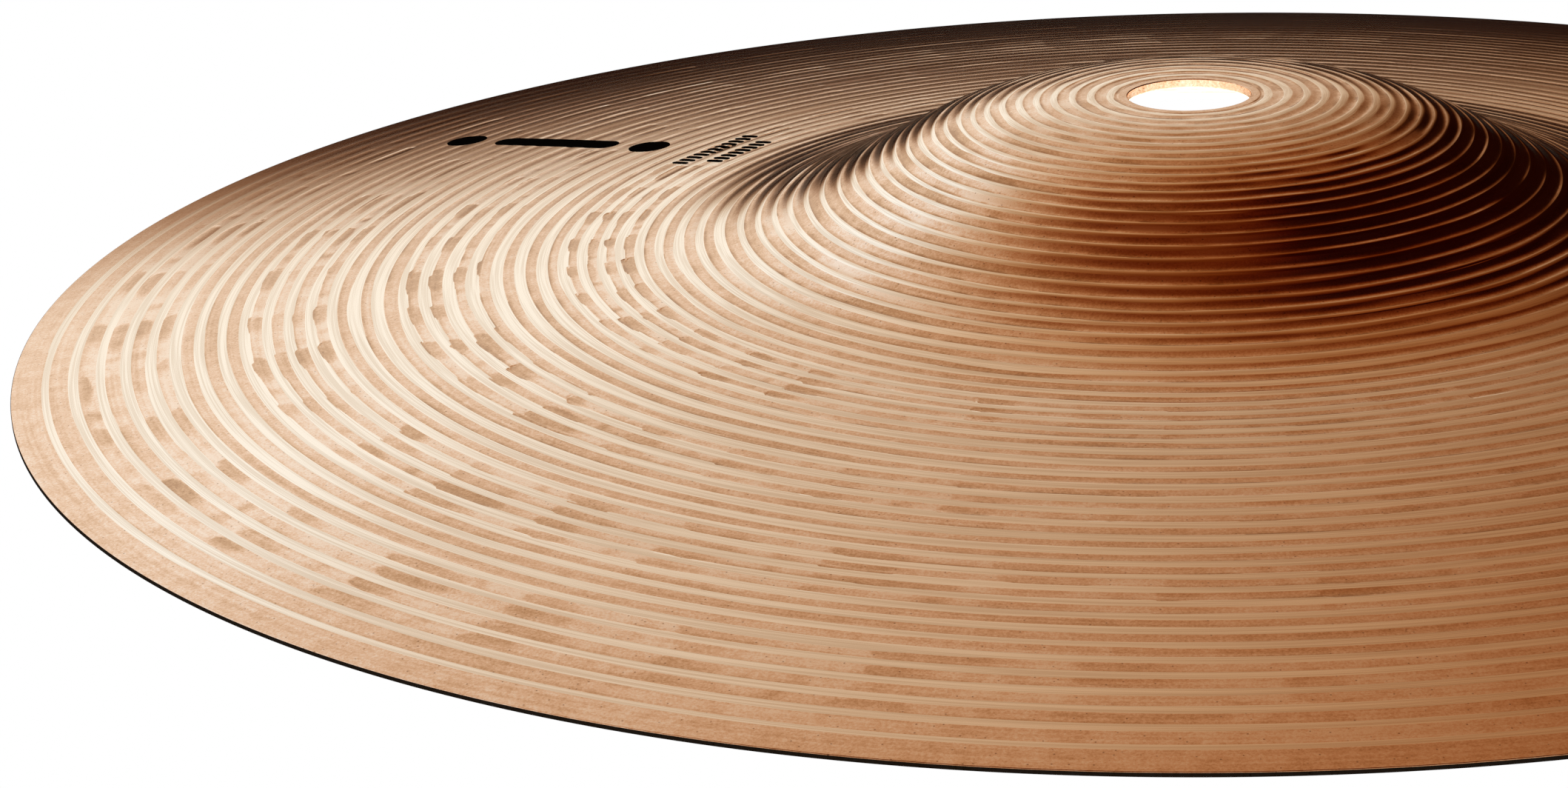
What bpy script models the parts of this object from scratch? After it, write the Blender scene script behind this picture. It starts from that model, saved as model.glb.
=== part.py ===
"""Ten-inch splash cymbal: one hammered and turned bronze disc with ink printed on its top.

The disc's top outline is a chain of tangent arcs from the bore to the rim: a flat seat for
the stand's felt, the crown and shoulder of the bell, its straight flank, the neck where the
bell runs into the bow, and the long shallow bow. The underside follows it at the thickness
of the sheet, which thins steadily from the bell to the rim. The disc rests on a narrow flat
foot at the rim's lower edge, whose plane is z = 0, and +Z is the axis of the bore.
"""

import math

import bpy

# Driving dimensions, in metres.
DIAMETER = 0.254
BORE = 0.0132
HEIGHT = 0.02225
SEAT_THICKNESS = 0.0010
FOOT_WIDTH = 0.0006

# The top outline's stretches, from the bore outwards: where each one ends, the slope there
# in degrees below the horizontal, and how many faces it takes.
RIM_RADIUS = DIAMETER / 2
BORE_RADIUS = BORE / 2
SEAT = (0.010, 0.0, 1)
CROWN = (0.020, 9.5, 2)
SHOULDER = (0.031, 28.0, 5)
FLANK = (0.037, 28.0, 1)
NECK = (0.060, 4.5, 6)
BOW = (RIM_RADIUS, 8.0, 6)
STRETCHES = (SEAT, CROWN, SHOULDER, FLANK, NECK, BOW)
TURNED_STEPS = 80

# The printed marks lie on the bow, round one direction from the axis.
PRINT_ANGLE = math.radians(148)
INK_THICKNESS = 0.0001
INK_GAP = 0.0003
BAR_RADIUS = 0.0905  # from the bore's axis to the bar's middle
BAR_LENGTH = 0.0190
BAR_WIDTH = 0.0034
DOT_DIAMETER = 0.0050
OUTER_DOT_RADIUS = 0.1052
INNER_DOT_RADIUS = 0.0758
OUTER_ROW_RADIUS = 0.0660
OUTER_ROW_LENGTH = 0.0150
INNER_ROW_RADIUS = 0.0622
INNER_ROW_LENGTH = 0.0105
ROW_WIDTH = 0.0022
ROUND_END_STEPS = 10

BRONZE = (0.62, 0.40, 0.24)
INK = (0.012, 0.011, 0.011)

TURN = 2 * math.pi


def clear_scene():
    for existing in list(bpy.data.objects):
        bpy.data.objects.remove(existing, do_unlink=True)


def material(name, colour, roughness, metallic):
    """A Principled BSDF material with one colour."""
    made = bpy.data.materials.new(name)
    made.use_nodes = True
    shader = made.node_tree.nodes["Principled BSDF"]
    shader.inputs["Base Color"].default_value = (*colour, 1.0)
    shader.inputs["Roughness"].default_value = roughness
    shader.inputs["Metallic"].default_value = metallic
    return made


def arc_points(start, stretch):
    """Points along one stretch, whose slope turns steadily from start's to its own.

    start is (radius, height, slope). Along an arc the sine of the slope grows evenly with
    the radius, so the arc's own radius is the change in radius over the change in sine.
    """
    radius, height, slope = start
    end_radius, end_degrees, steps = stretch
    end_slope = math.radians(end_degrees)
    points = []
    for step in range(1, steps + 1):
        share = step / steps
        angle = slope + share * (end_slope - slope)
        if end_slope == slope:
            along = share * (end_radius - radius)
            points.append((radius + along, height - along * math.tan(slope), angle))
        else:
            arc = (end_radius - radius) / (math.sin(end_slope) - math.sin(slope))
            out = arc * (math.sin(angle) - math.sin(slope))
            down = arc * (math.cos(slope) - math.cos(angle))
            points.append((radius + out, height - down, angle))
    return points


def top_outline():
    """The top surface from the bore to the rim, as (radius, height, slope)."""
    points = [(BORE_RADIUS, HEIGHT, 0.0)]
    for stretch in STRETCHES:
        points += arc_points(points[-1], stretch)
    return points


def place_on_top(outline, radius):
    """Height and slope of the top surface at a radius, between the outline's points."""
    for (r0, z0, a0), (r1, z1, a1) in zip(outline, outline[1:]):
        if r0 <= radius <= r1:
            share = (radius - r0) / (r1 - r0)
            return z0 + share * (z1 - z0), a0 + share * (a1 - a0)
    raise ValueError("radius is off the disc")


def disc_profile(outline):
    """The closed section of the disc: out along the top, down the rim, back below it."""
    foot_radius = RIM_RADIUS - FOOT_WIDTH
    foot_height, _ = place_on_top(outline, foot_radius)
    thinning = (SEAT_THICKNESS - foot_height) / (foot_radius - BORE_RADIUS)
    below = [
        (radius, height - SEAT_THICKNESS + thinning * (radius - BORE_RADIUS))
        for radius, height, _ in outline
        if radius < foot_radius
    ]
    top = [(radius, height) for radius, height, _ in outline]
    return top + [(RIM_RADIUS, 0.0), (foot_radius, 0.0)] + below[::-1]


def add(name, data, collection, finish):
    """A named object with one material, in the part's collection."""
    made = bpy.data.objects.new(name, data)
    collection.objects.link(made)
    data.materials.append(finish)
    return made


def make_cymbal(outline, collection, finish):
    """The disc: its section turned once round the bore's axis."""
    section = disc_profile(outline)
    count = len(section)
    mesh = bpy.data.meshes.new("cymbal")
    vertices = [(radius, 0.0, height) for radius, height in section]
    mesh.from_pydata(vertices, [(i, (i + 1) % count) for i in range(count)], [])
    disc = add("cymbal", mesh, collection, finish)
    turned = disc.modifiers.new("turned", "SCREW")
    turned.axis = "Z"
    turned.angle = TURN
    turned.steps = TURNED_STEPS
    turned.render_steps = TURNED_STEPS
    turned.use_merge_vertices = True
    turned.merge_threshold = 0.00001
    turned.use_smooth_shade = True


def round_bar(length, width):
    """A bar along X with half-round ends, as a ring of points."""
    reach = (length - width) / 2
    points = []
    for centre, start in ((reach, -math.pi / 2), (-reach, math.pi / 2)):
        for step in range(ROUND_END_STEPS + 1):
            angle = start + math.pi * step / ROUND_END_STEPS
            points.append((centre + width / 2 * math.cos(angle), width / 2 * math.sin(angle)))
    return points


def round_dot(diameter):
    """A circle of points."""
    count = 2 * ROUND_END_STEPS
    angles = [TURN * step / count for step in range(count)]
    return [(diameter / 2 * math.cos(a), diameter / 2 * math.sin(a)) for a in angles]


def row(length):
    """A plain rectangle that lies across the radius."""
    side, out = length / 2, ROW_WIDTH / 2
    return [(-out, -side), (out, -side), (out, side), (-out, side)]


def make_print(name, shape, radius, outline, collection, finish):
    """A thin flat film just above the bow, tilted to the bow's slope there."""
    curve = bpy.data.curves.new(name, "CURVE")
    curve.dimensions = "2D"
    curve.fill_mode = "BOTH"
    curve.extrude = INK_THICKNESS / 2
    spline = curve.splines.new("POLY")
    spline.points.add(len(shape) - 1)
    for point, (x, y) in zip(spline.points, shape):
        point.co = (x, y, 0.0, 1.0)
    spline.use_cyclic_u = True
    height, slope = place_on_top(outline, radius)
    lift = INK_GAP + INK_THICKNESS / 2
    out = radius + lift * math.sin(slope)
    film = add(name, curve, collection, finish)
    film.location = (
        out * math.cos(PRINT_ANGLE),
        out * math.sin(PRINT_ANGLE),
        height + lift * math.cos(slope),
    )
    film.rotation_euler = (0.0, slope, PRINT_ANGLE)


def make_prints(outline, collection, finish):
    """The generic printed mark: a bar between two dots, and two plain rows inside them."""
    marks = {
        "printed_dot_outer": (round_dot(DOT_DIAMETER), OUTER_DOT_RADIUS),
        "printed_bar": (round_bar(BAR_LENGTH, BAR_WIDTH), BAR_RADIUS),
        "printed_dot_inner": (round_dot(DOT_DIAMETER), INNER_DOT_RADIUS),
        "printed_row_outer": (row(OUTER_ROW_LENGTH), OUTER_ROW_RADIUS),
        "printed_row_inner": (row(INNER_ROW_LENGTH), INNER_ROW_RADIUS),
    }
    for name, (shape, radius) in marks.items():
        make_print(name, shape, radius, outline, collection, finish)


clear_scene()
part = bpy.data.collections.new("splash_cymbal")
bpy.context.scene.collection.children.link(part)
top = top_outline()
make_cymbal(top, part, material("bronze", BRONZE, 0.32, 1.0))
make_prints(top, part, material("ink", INK, 0.45, 0.0))
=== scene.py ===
import math

import bpy
import numpy as np
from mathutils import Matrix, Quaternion, Vector


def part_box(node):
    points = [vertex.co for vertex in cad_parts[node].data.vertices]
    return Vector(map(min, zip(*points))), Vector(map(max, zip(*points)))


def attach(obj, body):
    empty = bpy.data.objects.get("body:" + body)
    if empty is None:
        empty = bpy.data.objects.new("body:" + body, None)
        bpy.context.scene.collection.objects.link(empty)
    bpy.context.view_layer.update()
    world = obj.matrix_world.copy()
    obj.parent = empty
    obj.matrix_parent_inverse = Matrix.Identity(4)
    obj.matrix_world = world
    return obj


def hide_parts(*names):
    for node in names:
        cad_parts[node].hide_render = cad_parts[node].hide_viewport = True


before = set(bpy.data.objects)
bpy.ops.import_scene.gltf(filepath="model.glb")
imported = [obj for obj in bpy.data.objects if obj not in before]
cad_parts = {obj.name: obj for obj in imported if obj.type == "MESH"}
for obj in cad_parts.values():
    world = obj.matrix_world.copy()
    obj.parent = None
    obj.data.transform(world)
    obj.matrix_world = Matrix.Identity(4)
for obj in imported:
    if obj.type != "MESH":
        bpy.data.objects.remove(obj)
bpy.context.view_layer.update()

# The camera: a short telephoto lens a little above the cymbal, close to its front edge,
# aimed left of the bell and rolled a few degrees. The bell and the right edge leave the frame.
camera = bpy.data.objects.new("camera", bpy.data.cameras.new("camera"))
bpy.context.scene.collection.objects.link(camera)
camera.data.lens = 91.62
camera.data.sensor_width = 36.0
camera.data.clip_start = 0.01
camera.location = (0.0, -0.4170, 0.1320)
CAMERA_AIM = Vector((-0.04156, -0.03267, 0.0))
CAMERA_ROLL = math.radians(-2.593)
aimed = (CAMERA_AIM - camera.location).to_track_quat("-Z", "Y")
camera.rotation_mode = "QUATERNION"
camera.rotation_quaternion = aimed @ Quaternion((0.0, 0.0, 1.0), CAMERA_ROLL)
bpy.context.scene.camera = camera
bpy.context.scene.view_settings.view_transform = "Standard"


# Nodes are written as a tree of calls: each call makes one node and gives its first output.
def node(tree, kind, inputs=(), output=0, **settings):
    """A node of this kind, with its settings and its inputs: numbers, colours or sockets."""
    made = tree.nodes.new(kind)
    for name, value in settings.items():
        setattr(made, name, value)
    pairs = inputs.items() if isinstance(inputs, dict) else enumerate(inputs)
    for key, value in pairs:
        if isinstance(value, bpy.types.NodeSocket):
            tree.links.new(value, made.inputs[key])
        elif value is not None:
            made.inputs[key].default_value = value
    return made.outputs[output] if made.outputs else made


def sums(tree, operation, *values):
    """A Math node."""
    return node(tree, "ShaderNodeMath", values, operation=operation)


def eased(tree, value, low, high):
    """0 below low and 1 above high, with a smooth step between them."""
    inputs = (value, low, high, 0.0, 1.0)
    return node(tree, "ShaderNodeMapRange", inputs, interpolation_type="SMOOTHSTEP", clamp=True)


def ranged(tree, value, low, high, first, last):
    """first up to low and last from high on, with a straight line between them."""
    return node(tree, "ShaderNodeMapRange", (value, low, high, first, last))


def product(tree, first, *others):
    """Values multiplied together."""
    for other in others:
        first = sums(tree, "MULTIPLY", first, other)
    return first


# The studio: one tall soft panel behind the cymbal and to its left, which fades out to the
# right and towards the ceiling, and a dimmer one in front. The room beyond them is dark, and
# only the camera sees the backdrop as plain white.
PANEL_LEVEL, FRONT_LEVEL, ROOM_LEVEL = 1.1, 0.65, 0.012
OVERHEAD_SHARE = 0.62
PANEL_LOSS = 0.80
WARMTH_LOW = (1.0, 1.5, 2.0)
WARMTH_HIGH = (1.0, 1.9, 2.9)


def make_studio():
    """The world's light by direction, and plain white to the camera.

    turn is the bearing in degrees from +X towards +Y, and rise the height in degrees. The
    panel's right edge is a ramp over turn that grows wider with rise. The light's red is its
    level, and its green and blue are powers of it, so that it is warmer where it is dimmer.
    """
    world = bpy.data.worlds.new("studio")
    bpy.context.scene.world = world
    world.use_nodes = True
    tree = world.node_tree
    tree.nodes.clear()
    place = node(tree, "ShaderNodeTexCoord")
    split = tree.nodes.new("ShaderNodeSeparateXYZ")
    tree.links.new(place, split.inputs[0])
    x, y, z = split.outputs
    turn = sums(tree, "DEGREES", sums(tree, "ARCTAN2", y, x))
    rise = sums(tree, "DEGREES", sums(tree, "ARCSINE", z))
    start = ranged(tree, rise, 16.0, 38.0, 75.5, 57.5)
    low_end = ranged(tree, rise, 6.0, 32.0, 81.0, 120.0)
    end = ranged(tree, rise, 45.0, 70.0, low_end, 96.0)
    ramp = sums(tree, "POWER", ranged(tree, turn, start, end, 0.0, 1.0), 0.9)
    ramp = ranged(tree, eased(tree, rise, 66.0, 84.0), 0.0, 1.0, ramp, OVERHEAD_SHARE)
    foot = eased(tree, rise, 3.0, 13.0)
    kept = sums(tree, "SUBTRACT", 1.0, product(tree, eased(tree, rise, 30.0, 76.0), PANEL_LOSS))
    panel = product(tree, ramp, product(tree, foot, kept), PANEL_LEVEL)
    side = sums(tree, "SUBTRACT", 1.0, eased(tree, turn, -45.0, -5.0))
    top = sums(tree, "SUBTRACT", 1.0, eased(tree, rise, 48.0, 64.0))
    level = ranged(tree, turn, -180.0, -125.0, PANEL_LEVEL, FRONT_LEVEL)
    front = product(tree, side, product(tree, foot, top), level)
    light = sums(tree, "MAXIMUM", sums(tree, "MAXIMUM", panel, front), ROOM_LEVEL)
    colour = tree.nodes.new("ShaderNodeCombineColor")
    for socket, low_power, high_power in zip(colour.inputs, WARMTH_LOW, WARMTH_HIGH):
        power = ranged(tree, rise, 20.0, 45.0, low_power, high_power)
        tree.links.new(sums(tree, "POWER", light, power), socket)
    lit = node(tree, "ShaderNodeBackground", (colour.outputs[0], 1.0))
    backdrop = node(tree, "ShaderNodeBackground", ((1.0, 1.0, 1.0, 1.0), 1.0))
    seen = node(tree, "ShaderNodeLightPath")
    node(tree, "ShaderNodeOutputWorld", (node(tree, "ShaderNodeMixShader", (seen, lit, backdrop)),))


make_studio()


# The disc: cast and rolled bronze, hammered in rings, then turned on a lathe on both sides.
# Its section is a chain of tangent arcs, and its sheet thins from the bell to the rim.
MM = 0.001
_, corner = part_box("cymbal")
RIM_RADIUS = corner[0]
HEIGHT = corner[2]
BORE_RADIUS = 6.6 * MM
SEAT_THICKNESS = 1.0 * MM
FOOT_WIDTH = 0.6 * MM
SECTION_RADII = np.array([6.6, 10.0, 20.0, 31.0, 37.0, 60.0, 127.0]) * MM
SECTION_SLOPES = np.radians([0.0, 0.0, 9.5, 28.0, 28.0, 4.5, 8.0])
fine_radii = np.linspace(5.0 * MM, 128.0 * MM, 20001)
fine_slopes = np.arcsin(np.interp(fine_radii, SECTION_RADII, np.sin(SECTION_SLOPES)))


def summed(values):
    """The running total of values over fine_radii, by trapezoids."""
    steps = (values[1:] + values[:-1]) / 2 * np.diff(fine_radii)
    return np.concatenate([[0.0], np.cumsum(steps)])


fine_heights = HEIGHT - summed(np.tan(fine_slopes))


def smooth_height(radius):
    """Height of the disc's top before its marks.

    The sine of the slope grows evenly with the radius between the section's ends, which makes
    each stretch an arc; the height is HEIGHT less the running total of the slope.
    """
    return np.interp(radius, fine_radii, fine_heights)


def thickness(radius):
    """Thickness of the sheet: it falls evenly from the bore to the foot under the rim."""
    foot = RIM_RADIUS - FOOT_WIDTH
    share = (radius - BORE_RADIUS) / (foot - BORE_RADIUS)
    return SEAT_THICKNESS + share * (smooth_height(foot) - SEAT_THICKNESS)


# The lathe's tool is stepped in from the rim and held at each step, which leaves a bright
# smooth band with a sharp inner edge. Between two bands lies a land: a dull, shallow hollow.
STEPS = (
    # radius and step there, both in mm
    (6.6, 2.15), (20.0, 1.75), (26.0, 1.40), (34.0, 1.45), (38.0, 1.75), (47.0, 1.75), (50.0, 2.30),
    (57.0, 2.15), (66.0, 2.00), (73.5, 2.60), (79.0, 2.55), (88.0, 2.55), (97.0, 2.30),
    (106.0, 2.45), (114.0, 2.65), (124.0, 3.15),
)
BAND_SHARES = (
    # radius in mm and the band's share of a step
    (6.6, 0.38), (20.0, 0.40), (26.0, 0.32), (45.0, 0.34), (51.0, 0.50), (57.0, 0.46), (73.5, 0.55),
    (86.0, 0.46), (88.0, 0.56), (92.0, 0.46), (108.0, 0.46), (114.0, 0.43), (124.0, 0.27),
)
LAND_DEPTHS = (
    # radius and the land's depth there, both in mm
    (6.6, 0.030), (20.0, 0.045), (28.0, 0.070), (45.0, 0.065), (60.0, 0.026), (90.0, 0.022),
    (104.0, 0.015), (116.0, 0.010), (124.0, 0.007),
)
CREST_DROPS = (
    # radius and how far a band's edges fall below its middle, both in mm
    (6.6, 0.006), (20.0, 0.010), (28.0, 0.018), (46.0, 0.018), (60.0, 0.003), (124.0, 0.001),
)
# How dark the painted shade just inside each band's sharp edge is, and how mottled the lands are, by
# radius in mm.
EDGE_SHADES = ((92.0, 2.0), (106.0, 0.7))
MOTTLE = ((48.0, 0.55), (58.0, 0.22))
EDGE_SHADE_WIDTH = 0.22 * MM
FIRST_EDGE_RADIUS = 122.98 * MM
PLAIN_SEAT_WIDTH = 1.0 * MM
BAND_STOCK = 0.045 * MM
LAND_STOCK = -0.002 * MM
PLAIN_STOCK = -0.004 * MM


def by_radius(radius, pairs):
    """A value read between (radius in mm, value) pairs."""
    radii, values = np.array(pairs).T
    return np.interp(radius, radii * MM, values)


fine_steps = summed(1.0 / (by_radius(fine_radii, STEPS) * MM))
fine_steps = np.interp(FIRST_EDGE_RADIUS, fine_radii, fine_steps) - fine_steps
dice = np.random.default_rng(10)
BANDS = 80
WANDER_KNOTS = 30
share_table, depth_table, tone_table, drift_table = dice.normal(size=(4, BANDS, WANDER_KNOTS))


def steps_at(radius):
    """Steps of the tool from its first band in to this radius."""
    return np.interp(radius, fine_radii, fine_steps)


def wander(table, band, angle):
    """A smooth random walk round each band: cosine steps between a row of even knots."""
    place = (angle / math.tau % 1.0) * WANDER_KNOTS
    knot = np.floor(place).astype(int)
    share = (1 - np.cos(math.pi * (place - knot))) / 2
    row = np.clip(band.astype(int) + 2, 0, BANDS - 1)
    here, there = table[row, knot % WANDER_KNOTS], table[row, (knot + 1) % WANDER_KNOTS]
    return here + share * (there - here)


def smooth_step(value, low, high):
    """0 below low and 1 above high, with a smooth step between them."""
    t = np.clip((value - low) / (high - low), 0, 1)
    return t * t * (3 - 2 * t)


# Four rings of hammer marks lie under the turning, 41 to a ring. A mark starts at a sharp
# radial edge, where its hollow is deepest, and ends softly before the next one. The tool cut
# wider between the marks, where the metal stood higher. Their colour is painted shade in each
# hollow and a painted highlight between marks. To suit the camera's view, the marks, with their
# painted shade and highlight, are strongest at HEAVIEST and fade to LIGHTEST_SHARE opposite;
# real ones may well be even.
MARKS_ROUND = 41
MARK_ROWS = 8
HEAVIEST = math.radians(185.0)
LIGHTEST_SHARE = 0.2
MARK_RINGS = (
    # middle radius, reach, first edge in degrees, shift of the bands' edges
    (114.6 * MM, 4.6 * MM, -174.6, 0.02),
    (97.9 * MM, 4.6 * MM, -179.9, 0.17),
    (81.3 * MM, 3.8 * MM, -184.0, 0.19),
    (63.9 * MM, 3.9 * MM, -179.5, 0.22),
)
mark_edges = []
for _, _, first, _ in MARK_RINGS:
    loose = dice.normal(size=MARKS_ROUND) * 0.035
    edges = np.arange(MARKS_ROUND) + loose
    edges = np.concatenate([edges - MARKS_ROUND, edges, edges + MARKS_ROUND, edges + 2 * MARKS_ROUND])
    mark_edges.append(math.radians(first) + edges * math.tau / MARKS_ROUND)
mark_tables = dice.normal(size=(len(MARK_RINGS), MARKS_ROUND, MARK_ROWS, 4))


def hammering(radius, angle, band, across):
    """How far a place lies in a mark's hollow, between two marks, and how far the edge moves.

    Round each ring, t runs from 0 at a mark's sharp edge to 1 at the next, a little ahead of
    itself near the ring's own edges. The hollow starts at t = 0 and falls off from about
    t = 0.34 to 0.62, each mark in its own way, with rounded corners: both ends draw in by
    0.045 * across^4. A weaker second blow lies at t = 0.76. Across the ring, where x is 1 at
    its reach, everything fades out between x = 0.92 and x = 1.22.
    """
    shape = np.broadcast(radius, angle).shape
    angle = np.broadcast_to(angle, shape)
    hollow, ridge, shift = np.zeros((3,) + shape)
    for (middle, reach, _, moved), edges, table in zip(MARK_RINGS, mark_edges, mark_tables):
        x = np.abs((radius[:, 0] - middle) / reach)
        near = x < 1.25
        x = x[near, None]
        heavy = ((1 + np.cos(angle[near] - HEAVIEST)) / 2) ** 2.5
        heavy = LIGHTEST_SHARE + (1 - LIGHTEST_SHARE) * heavy
        row = band[near].astype(int) % MARK_ROWS
        place = np.interp(angle[near], edges, np.arange(len(edges))) + 0.08 * x**3
        place = place + 0.02 * table[np.floor(place).astype(int) % MARKS_ROUND, row, 3]
        mark = np.floor(place).astype(int) % MARKS_ROUND
        t = place - np.floor(place)
        blow, again, end = np.moveaxis(table[mark, row, :3], -1, 0)
        strength = np.clip(0.85 + 0.3 * blow + 0.2 * table[mark, 0, 1], 0.4, 1.4) * heavy
        second = np.exp(-(((t - 0.76) / 0.06) ** 2)) * np.clip(0.35 + 0.3 * again, 0, 1) * heavy
        corner = 0.045 * (across[near] + 0.35 * again) ** 4
        ends = smooth_step(t + corner, 0.34 + 0.12 * end, 0.62 + 0.12 * end)
        first = smooth_step(t - corner, 0, 0.04) * (1 - ends) * strength
        either = np.maximum(first, second)
        window = 1 - smooth_step(x, 0.92, 1.22)
        hollow[near] += window * either
        ridge[near] += window * (1 - np.clip(either / heavy, 0, 1)) * (0.3 + 0.7 * heavy)
        shift[near] += window * (first * (1 - 0.6 * t) - 0.12) * moved
    return hollow, ridge, shift


def surface(radius, angle, marks=True):
    """Height above the smooth disc, the finish (land below 0, band above) and its painted shade and
    tone.

    Along one step, u runs from 0 at a band's sharp inner edge to 1 at the next one's. The land
    is -depth * sin(pi t^0.75) with t from 0 to 1 across it, so it drops fast and climbs slowly;
    the band keeps the level but for a rounding, (2 v - 1)^2 times its crest's drop. The painted
    shade and tone is above 0 for a painted highlight between marks, below 0 for painted shade in
    a hollow and on the line just inside each band's sharp edge, and carries a random mottle. The
    seat round the bore and the rim's edge are plain.
    """
    along = steps_at(radius) + 0 * angle
    band = np.floor(along + 0.25)
    share = by_radius(radius, BAND_SHARES) * (1 + 0.10 * wander(share_table, band, angle))
    if marks:
        across = 2 * np.clip((along - np.floor(along)) / (1 - share), 0, 1) - 1
        hollow, ridge, shift = hammering(radius, angle, band, across)
    else:
        hollow, ridge, shift = np.zeros((3,) + along.shape)
    along = along + shift + 0.018 * wander(drift_table, band, angle)
    band = np.floor(along)
    u = along - band
    share = share - shift
    t = np.clip(u / (1 - share), 0, 1)
    v = np.clip((u - 1 + share) / share, 0, 1)
    is_band = u > 1 - share
    depth = by_radius(radius, LAND_DEPTHS) * MM
    depth = depth * np.clip(1 + 0.35 * wander(depth_table, band, angle), 0.3, 2)
    land = -depth * (1 + 0.7 * hollow - 0.55 * ridge) * np.sin(math.pi * t**0.75)
    crest = by_radius(radius, CREST_DROPS) * MM
    relief = np.where(is_band, -crest * (2 * v - 1) ** 2, land - crest)
    stock = np.where(is_band, BAND_STOCK * 4 * v * (1 - v), land + LAND_STOCK)
    from_edge = u * by_radius(radius, STEPS) * MM
    # Painted shade: a dark line on the land just inside each band's sharp edge, strongest near 92 mm.
    edge_shade = np.exp(-from_edge / EDGE_SHADE_WIDTH) * by_radius(radius, EDGE_SHADES)
    edge_shade = edge_shade * (1 + 0.4 * wander(tone_table, band, angle * 5))
    mottle = by_radius(radius, MOTTLE) * wander(tone_table, band, angle)
    # Painted shade in a mark's hollow and along the sharp edge, a painted highlight on the ridges
    # between marks, and a random mottle.
    shade_and_tone = 0.7 * ridge - hollow * (1 - 0.45 * np.abs(2 * t - 1) ** 3) - edge_shade + mottle
    plain = along < -by_radius(radius, BAND_SHARES)
    plain = plain | (radius < BORE_RADIUS + PLAIN_SEAT_WIDTH)
    return np.where(plain, 0.0, relief), np.where(plain, PLAIN_STOCK, stock), np.where(plain, 0.0, shade_and_tone)


def face(radii, turns, side):
    """A face of the disc as a grid of rows by columns, with its normals and its finish.

    side is 1 for the top and -1 for the underside. The height is the smooth one plus the
    tool's relief, which is never above it. A normal is read over half a step each way.
    """
    half = np.diff(radii) / 2
    between = np.concatenate([[radii[0] - half[0]], radii[:-1] + half, [radii[-1] + half[-1]]])
    middle = (turns + np.roll(turns, -1)) / 2
    middle[-1] += math.pi

    def height(radius, angle):
        radius, angle = radius[:, None], angle[None]
        relief, stock, shade_and_tone = surface(radius, angle, marks=side > 0)
        level = smooth_height(radius) - (thickness(radius) if side < 0 else 0)
        return level + side * relief, stock, shade_and_tone

    z, stock, shade_and_tone = height(radii, turns)
    slope_out = np.diff(height(between, turns)[0], axis=0) / np.diff(between)[:, None]
    ahead = height(radii, middle)[0]
    step = middle - np.roll(middle, 1)
    step[0] += math.tau
    slope_round = (ahead - np.roll(ahead, 1, axis=1)) / (radii[:, None] * step)
    cos, sin = np.cos(turns)[None], np.sin(turns)[None]
    radius = radii[:, None]
    places = np.stack([radius * cos, radius * sin, z], axis=-1)
    normal_x = -slope_out * cos + slope_round * sin
    normal_y = -slope_out * sin - slope_round * cos
    normals = np.stack([normal_x, normal_y, np.ones_like(z)], axis=-1)
    normals *= side / np.linalg.norm(normals, axis=-1, keepdims=True)
    return places, normals, stock, shade_and_tone


def edge(profile, turns):
    """A turned edge from (radius, height, normal out, normal up) rows."""
    radius, height, out, up = np.array(profile).T[:, :, None]
    cos, sin = np.cos(turns)[None], np.sin(turns)[None]
    places = np.stack([radius * cos, radius * sin, height + 0 * cos], axis=-1)
    normals = np.stack([out * cos, out * sin, up + 0 * cos], axis=-1)
    return places, normals


def joint(above, below, sign):
    """The hidden upright wall between two rings: straight from one face to the other."""
    places = np.stack([above, below])
    out = places * [sign, sign, 0]
    return places, out / np.linalg.norm(out, axis=-1, keepdims=True)


def closed_ring(name, strips, attributes):
    """A ring whose section is a loop of strips, each a grid of places with its normals.

    Each strip's last row is the next one's first, and the grid closes on itself both ways.
    """
    rows = np.concatenate([places[:-1] for places, _ in strips])
    starts = np.concatenate([normals[:-1] for _, normals in strips])
    ends = np.concatenate([normals[1:] for _, normals in strips])
    here = np.arange(rows.shape[0] * rows.shape[1]).reshape(rows.shape[:2])
    there = np.roll(here, -1, axis=0)
    corners = np.stack([here, there, np.roll(there, -1, axis=1), np.roll(here, -1, axis=1)], axis=-1)
    turned = [starts, ends, np.roll(ends, -1, axis=1), np.roll(starts, -1, axis=1)]
    normals = np.stack(turned, axis=2).reshape(-1, 3)
    mesh = bpy.data.meshes.new(name)
    mesh.vertices.add(here.size)
    mesh.vertices.foreach_set("co", rows.astype(np.float32).ravel())
    mesh.loops.add(here.size * 4)
    mesh.loops.foreach_set("vertex_index", corners.astype(np.int32).ravel())
    mesh.polygons.add(here.size)
    mesh.polygons.foreach_set("loop_start", np.arange(0, here.size * 4, 4, dtype=np.int32))
    mesh.update(calc_edges=True)
    mesh.shade_smooth()
    for key, values in attributes.items():
        layer = mesh.attributes.new(key, "FLOAT", "POINT")
        layer.data.foreach_set("value", values.astype(np.float32).ravel())
    mesh.normals_split_custom_set(normals)
    made = bpy.data.objects.new(name, mesh)
    bpy.context.scene.collection.objects.link(made)
    return made


# Bronze: the lands are dull, grainy and tan, with painted shade in a mark's hollow and along a
# sharp edge and a painted highlight between marks, and pitted here and there. The bands are
# bright and pale, with fine tool streaks.
LAND_COLOUR = (0.74, 0.485, 0.325, 1.0)
# The dark, light and deep colours carry random tone and also the painted shade and painted highlight of
# the marks and edges.
DARK_TONE_AND_SHADE_COLOUR = (0.56, 0.325, 0.18, 1.0)
LIGHT_TONE_AND_HIGHLIGHT_COLOUR = (0.83, 0.65, 0.51, 1.0)
DEEP_TONE_AND_SHADE_COLOUR = (0.36, 0.18, 0.085, 1.0)
PIT_COLOUR = (0.16, 0.07, 0.03, 1.0)
BAND_COLOURS = (0.74, 0.61, 0.48, 1.0), (0.90, 0.79, 0.66, 1.0)
EDGE_TINT = (1.0, 0.90, 0.78, 1.0)


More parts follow.
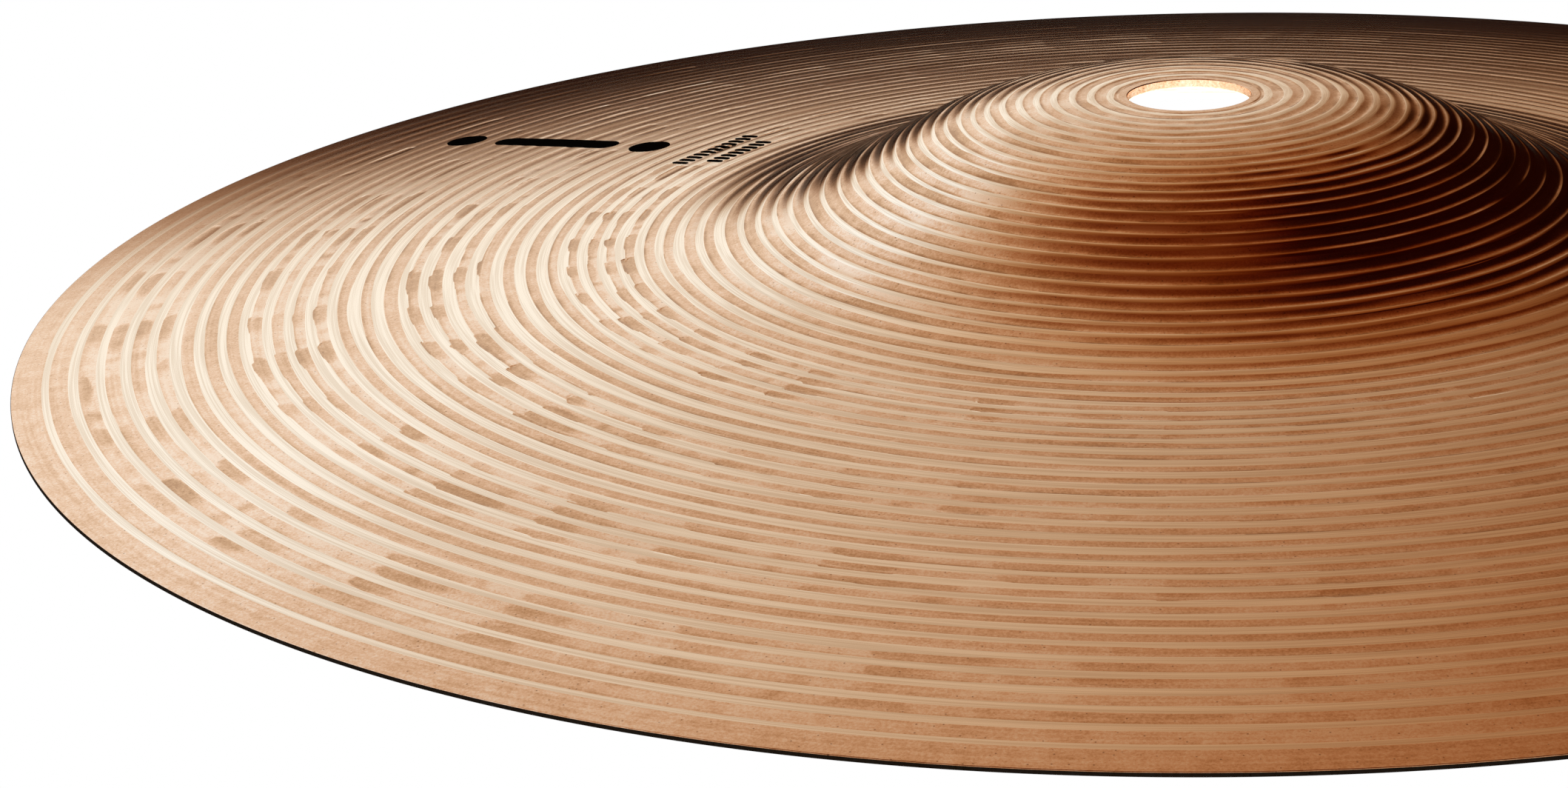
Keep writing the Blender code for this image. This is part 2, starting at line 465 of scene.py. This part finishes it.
def bronze_finish():
    """The disc's metal: land below the skimmed level, band above, both by the vertex values."""
    finish = bpy.data.materials.new("turned_bronze")
    finish.use_nodes = True
    tree = finish.node_tree
    shader = tree.nodes["Principled BSDF"]
    place = node(tree, "ShaderNodeTexCoord", output=3)
    flat = node(tree, "ShaderNodeVectorMath", (place, (1.0, 1.0, 0.0)), operation="MULTIPLY")
    radius = node(tree, "ShaderNodeVectorMath", (flat,), operation="LENGTH", output=1)
    round_it = node(tree, "ShaderNodeVectorMath", (flat,), operation="NORMALIZE")

    def streaks(per_mm, length, detail):
        """Noise drawn out round the disc: fine across the radius and long along the turn."""
        out = node(tree, "ShaderNodeCombineXYZ", (0.0, 0.0, sums(tree, "MULTIPLY", radius, per_mm / MM)))
        along = node(tree, "ShaderNodeVectorMath", {0: round_it, 3: length}, operation="SCALE")
        where = node(tree, "ShaderNodeVectorMath", (out, along), operation="ADD")
        return node(tree, "ShaderNodeTexNoise", {"Vector": where, "Scale": 1.0, "Detail": detail})

    def mixed(share, a, b):
        """One colour blended into another."""
        return node(tree, "ShaderNodeMix", {0: share, 6: a, 7: b}, output=2, data_type="RGBA")

    stock = node(tree, "ShaderNodeAttribute", attribute_name="stock", output=2)
    shade_and_tone = node(tree, "ShaderNodeAttribute", attribute_name="shade_and_tone", output=2)
    band = eased(tree, stock, -0.0015 * MM, 0.0020 * MM)
    tool_lines = streaks(9.0, 5.0, 2.0)
    broad_lines = streaks(2.2, 3.0, 3.0)
    fine = {"Vector": place, "Scale": 3.5 / MM, "Detail": 3.0, "Roughness": 0.7}
    grains = node(tree, "ShaderNodeTexNoise", fine)
    patches = node(tree, "ShaderNodeTexNoise", {"Vector": place, "Scale": 0.5 / MM, "Detail": 3.0})
    cells = {"Vector": place, "Scale": 1.1 / MM}
    near_pit = node(tree, "ShaderNodeTexVoronoi", cells, feature="F1")
    pits = sums(tree, "SUBTRACT", 1.0, eased(tree, near_pit, 0.05, 0.14))
    uneven = ranged(tree, patches, 0.3, 0.7, -0.40, 0.40)
    grainy = ranged(tree, grains, 0.3, 0.7, -0.8, 0.8)
    lined = ranged(tree, broad_lines, 0.3, 0.7, -0.45, 0.45)
    shade = sums(tree, "ADD", sums(tree, "ADD", shade_and_tone, uneven), sums(tree, "ADD", grainy, lined))
    # Above 0 the land turns towards the light colour and below 0 towards the dark and deep ones: painted
    # highlight and painted shade, mixed with random grain and tone.
    land = mixed(ranged(tree, shade, 0.0, 1.0, 0.0, 1.0), LAND_COLOUR, LIGHT_TONE_AND_HIGHLIGHT_COLOUR)
    land = mixed(ranged(tree, shade, 0.0, -1.1, 0.0, 1.0), land, DARK_TONE_AND_SHADE_COLOUR)
    land = mixed(ranged(tree, shade, -1.1, -2.4, 0.0, 1.0), land, DEEP_TONE_AND_SHADE_COLOUR)
    land = mixed(sums(tree, "MULTIPLY", pits, 0.7), land, PIT_COLOUR)
    skim = mixed(eased(tree, sums(tree, "ADD", tool_lines, broad_lines), 0.85, 1.15), *BAND_COLOURS)
    tree.links.new(mixed(band, land, skim), shader.inputs["Base Color"])
    dull = ranged(tree, radius, 95.0 * MM, 120.0 * MM, 0.18, 0.11)
    rough = ranged(tree, band, 0.0, 1.0, dull, 0.12)
    tree.links.new(rough, shader.inputs["Roughness"])
    shader.inputs["Metallic"].default_value = 1.0
    shader.inputs["Specular Tint"].default_value = EDGE_TINT
    relief = ranged(tree, grains, 0.0, 1.0, -0.004 * MM, 0.004 * MM)
    lines = ranged(tree, tool_lines, 0.0, 1.0, -0.003 * MM, 0.003 * MM)
    height = node(tree, "ShaderNodeMix", {0: band, 2: relief, 3: lines}, data_type="FLOAT")
    bump = node(tree, "ShaderNodeBump", {"Strength": 0.5, "Distance": 1.0, "Height": height})
    tree.links.new(bump, shader.inputs["Normal"])
    return finish


bronze = bronze_finish()
BELL_COLUMNS = 492
UNDER_SPACING = 0.6 * MM
EDGE_ROUND = 0.12 * MM
# The columns crowd together where a mark starts, so that its edge stays sharp.
MARK_PLACES = (0, 0.012, 0.03, 0.07, 0.12, 0.18, 0.24, 0.30, 0.36, 0.42, 0.47, 0.52, 0.57, 0.61, 0.65,
               0.69, 0.73, 0.77, 0.81, 0.85, 0.89, 0.93, 0.965, 0.985)
RINGS = (
    # name, inner and outer radius, spacing of the rows on top, ring of marks
    ("bell_crown", 6.6, 26.0, 0.15, None),
    ("bell_flank", 26.0, 46.0, 0.13, None),
    ("neck", 46.0, 57.5, 0.16, 3),
    ("bow_1", 57.5, 70.0, 0.17, 3),
    ("bow_2", 70.0, 77.0, 0.17, 2),
    ("bow_3", 77.0, 89.0, 0.17, 2),
    ("bow_4", 89.0, 103.0, 0.19, 1),
    ("bow_5", 103.0, 109.0, 0.17, 0),
    ("bow_6", 109.0, 120.5, 0.17, 0),
    ("rim", 120.5, 127.0, 0.17, 0),
)


def quarter(radius, height, start, steps=6):
    """A quarter-round edge: rows of radius, height, normal out and normal up."""
    turn = start + np.linspace(0, math.pi / 2, steps)
    out, up = np.sin(turn), np.cos(turn)
    return [(radius + EDGE_ROUND * o, height + EDGE_ROUND * u, o, u) for o, u in zip(out, up)]


def make_ring(name, inner, outer, spacing, ring_of_marks):
    """One closed ring of the disc: fine rows on its top and wider ones on its underside."""
    if ring_of_marks is None:
        turns = np.arange(BELL_COLUMNS) * math.tau / BELL_COLUMNS
    else:
        starts = mark_edges[ring_of_marks][MARKS_ROUND : 2 * MARKS_ROUND + 1]
        turns = (starts[:-1, None] + np.array(MARK_PLACES) * np.diff(starts)[:, None]).ravel()
    is_bore, is_rim = inner <= BORE_RADIUS + MM / 100, outer >= RIM_RADIUS - MM / 100
    first = inner + (EDGE_ROUND if is_bore else 0)
    last = outer - (EDGE_ROUND if is_rim else 0)
    grids = []
    for side, gap in ((1, spacing), (-1, UNDER_SPACING)):
        radii = np.linspace(first, last, int((last - first) / gap) + 1)
        grids.append(face(radii, turns, side))
    top, under = grids
    under = [values[::-1] for values in under]
    if is_rim:
        rows = quarter(last, top[0][-1, 0, 2] - EDGE_ROUND, 0.0)
        under[0][0, :, 2] = 0.0
        rows += [(outer, 0.0, 1.0, 0.0)]
        flat = edge([(outer, 0.0, 0.0, -1.0), (last, 0.0, 0.0, -1.0)], turns)
        outer_strips = [edge(rows, turns), flat]
    else:
        outer_strips = [joint(top[0][-1], under[0][0], 1)]
    if is_bore:
        up = quarter(first, under[0][-1, 0, 2] + EDGE_ROUND, math.pi)
        up += quarter(first, top[0][0, 0, 2] - EDGE_ROUND, 1.5 * math.pi)
        inner_strips = [edge(up, turns)]
    else:
        inner_strips = [joint(under[0][-1], top[0][0], -1)]
    strips = [tuple(top[:2]), *outer_strips, tuple(under[:2]), *inner_strips]
    counts = [len(places) - 1 for places, _ in strips]
    finish = {}
    for key, index, plain in (("stock", 2, PLAIN_STOCK), ("shade_and_tone", 3, 0.0)):
        parts = [np.full((count, len(turns)), plain) for count in counts]
        parts[0] = top[index][:-1]
        parts[1 + len(outer_strips)] = under[index][:-1]
        finish[key] = np.concatenate(parts)
    ring = closed_ring(name, strips, finish)
    ring.data.materials.append(bronze)
    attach(ring, "root")
    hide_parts("cymbal")


for name, inner, outer, spacing, ring_of_marks in RINGS:
    make_ring(name, inner * MM, outer * MM, spacing * MM, ring_of_marks)


# The print: two dots, a bar and two rows of short ticks in black ink, screened onto the bow
# in a line along one radius. The film is thin, and it sinks into the lands under it.
PRINT_ANGLE = math.radians(148.0)
INK_THICKNESS = 0.035 * MM
INK_LIFT = 0.004 * MM
INK_COLOURS = (0.0015, 0.0015, 0.0015, 1.0), (0.006, 0.005, 0.0045, 1.0)


def ink_finish():
    """Black ink, a little glossy, with the uneven cover of a screen print."""
    finish = bpy.data.materials.new("printed_ink")
    finish.use_nodes = True
    tree = finish.node_tree
    shader = tree.nodes["Principled BSDF"]
    place = node(tree, "ShaderNodeTexCoord", output=3)
    cover = node(tree, "ShaderNodeTexNoise", {"Vector": place, "Scale": 1.6 / MM, "Detail": 4.0})
    shades = {0: cover, 6: INK_COLOURS[0], 7: INK_COLOURS[1]}
    colour = node(tree, "ShaderNodeMix", shades, output=2, data_type="RGBA")
    tree.links.new(colour, shader.inputs["Base Color"])
    tree.links.new(ranged(tree, cover, 0.3, 0.7, 0.38, 0.55), shader.inputs["Roughness"])
    shader.inputs["Specular IOR Level"].default_value = 0.0
    return finish


def blot(middle, reach_out, reach_round, offset=0.0, rows=9, columns=48):
    """One closed film of ink with an oblong outline, round at the ends of its longer side.

    A point at share s of the way out and at angle a lies at s times a circle of the shorter
    reach, moved along the longer axis by what is left of it; both faces follow the surface.
    """
    turn = np.arange(columns) * math.tau / columns
    small = min(reach_out, reach_round)
    out = np.cos(turn) * small + np.sign(np.round(np.cos(turn), 6)) * (reach_out - small)
    round_it = np.sin(turn) * small + np.sign(np.round(np.sin(turn), 6)) * (reach_round - small)
    share = np.linspace(0, 1, rows + 1)[1:, None]
    x = np.append((middle + share * out).ravel(), middle)
    y = np.append((offset + share * round_it).ravel(), offset)
    radius, angle = np.hypot(x, y), PRINT_ANGLE + np.arctan2(y, x)
    relief = surface(radius[:, None], angle[:, None])[0][:, 0]
    level = smooth_height(radius) + relief + INK_LIFT
    under = np.stack([radius * np.cos(angle), radius * np.sin(angle), level], axis=-1)
    grid = np.arange(rows * columns).reshape(rows, columns)
    here, there = grid, np.roll(grid, -1, axis=1)
    quads = np.stack([here[:-1], here[1:], there[1:], there[:-1]], axis=-1).reshape(-1, 4)
    centre = np.full(columns, rows * columns)
    fan = np.stack([here[0], there[0], centre], axis=-1)
    to_top = len(under)
    wall = np.stack([here[-1], there[-1], there[-1] + to_top, here[-1] + to_top], axis=-1)
    faces = [quads[:, ::-1], fan[:, ::-1], quads + to_top, fan + to_top, wall]
    return np.concatenate([under, under + [0, 0, INK_THICKNESS]]), faces


def make_print(name, blots):
    """One printed mark as a piece: one blot of ink or a row of them."""
    faces, start = [], 0
    for places, groups in blots:
        for group in groups:
            faces += (group + start).tolist()
        start += len(places)
    mesh = bpy.data.meshes.new(name)
    mesh.from_pydata(np.concatenate([places for places, _ in blots]).tolist(), [], faces)
    mesh.shade_smooth()
    made = bpy.data.objects.new("ink_" + name, mesh)
    bpy.context.scene.collection.objects.link(made)
    mesh.materials.append(ink)
    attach(made, "root")
    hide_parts(name)


ink = ink_finish()
make_print("printed_dot_outer", [blot(105.2 * MM, 2.5 * MM, 2.5 * MM, rows=14)])
make_print("printed_bar", [blot(90.5 * MM, 9.5 * MM, 1.7 * MM, rows=30, columns=120)])
make_print("printed_dot_inner", [blot(75.8 * MM, 2.5 * MM, 2.5 * MM, rows=14)])
for name, middle, half_width in (("printed_row_outer", 66.0, 7.5), ("printed_row_inner", 62.2, 5.25)):
    ticks = np.arange(-half_width + 0.45, half_width - 0.4, 1.325) * MM
    make_print(name, [blot(middle * MM, 1.1 * MM, 0.4 * MM, offset, columns=24) for offset in ticks])


# The floor and the card: the floor is a wide sheet far below the disc, white to the camera and
# nearly dark to the metal. Just under the disc, out of sight, a round card glows, so that the
# bore's far wall is pale.
FLOOR_DROP, FLOOR_REACH, FLOOR_GLOW = 0.35, 12.0, 0.015
CARD_DROP, CARD_RADIUS, CARD_SIDES, CARD_GLOW = 0.012, 0.116, 96, 3.0


def make_sheet(name, outline, drop, glow):
    """A flat level sheet that glows evenly: white to the camera, and to all else by glow."""
    mesh = bpy.data.meshes.new(name)
    mesh.from_pydata([(x, y, -drop) for x, y in outline], [], [tuple(range(len(outline)))])
    made = bpy.data.objects.new(name, mesh)
    bpy.context.scene.collection.objects.link(made)
    paper = bpy.data.materials.new(name + "_paper")
    paper.use_nodes = True
    tree = paper.node_tree
    tree.nodes.clear()
    seen = node(tree, "ShaderNodeLightPath")
    level = ranged(tree, seen, 0.0, 1.0, glow, 1.0)
    shine = node(tree, "ShaderNodeEmission", ((1.0, 1.0, 1.0, 1.0), level))
    node(tree, "ShaderNodeOutputMaterial", (shine,))
    mesh.materials.append(paper)
    return made


corners = ((-1, -1), (1, -1), (1, 1), (-1, 1))
square = [(x * FLOOR_REACH, y * FLOOR_REACH) for x, y in corners]
make_sheet("floor", square, FLOOR_DROP, FLOOR_GLOW)
turns = np.arange(CARD_SIDES) * math.tau / CARD_SIDES
circle = list(zip(CARD_RADIUS * np.cos(turns), CARD_RADIUS * np.sin(turns)))
card = make_sheet("card", circle, CARD_DROP, CARD_GLOW)
card.visible_camera = False
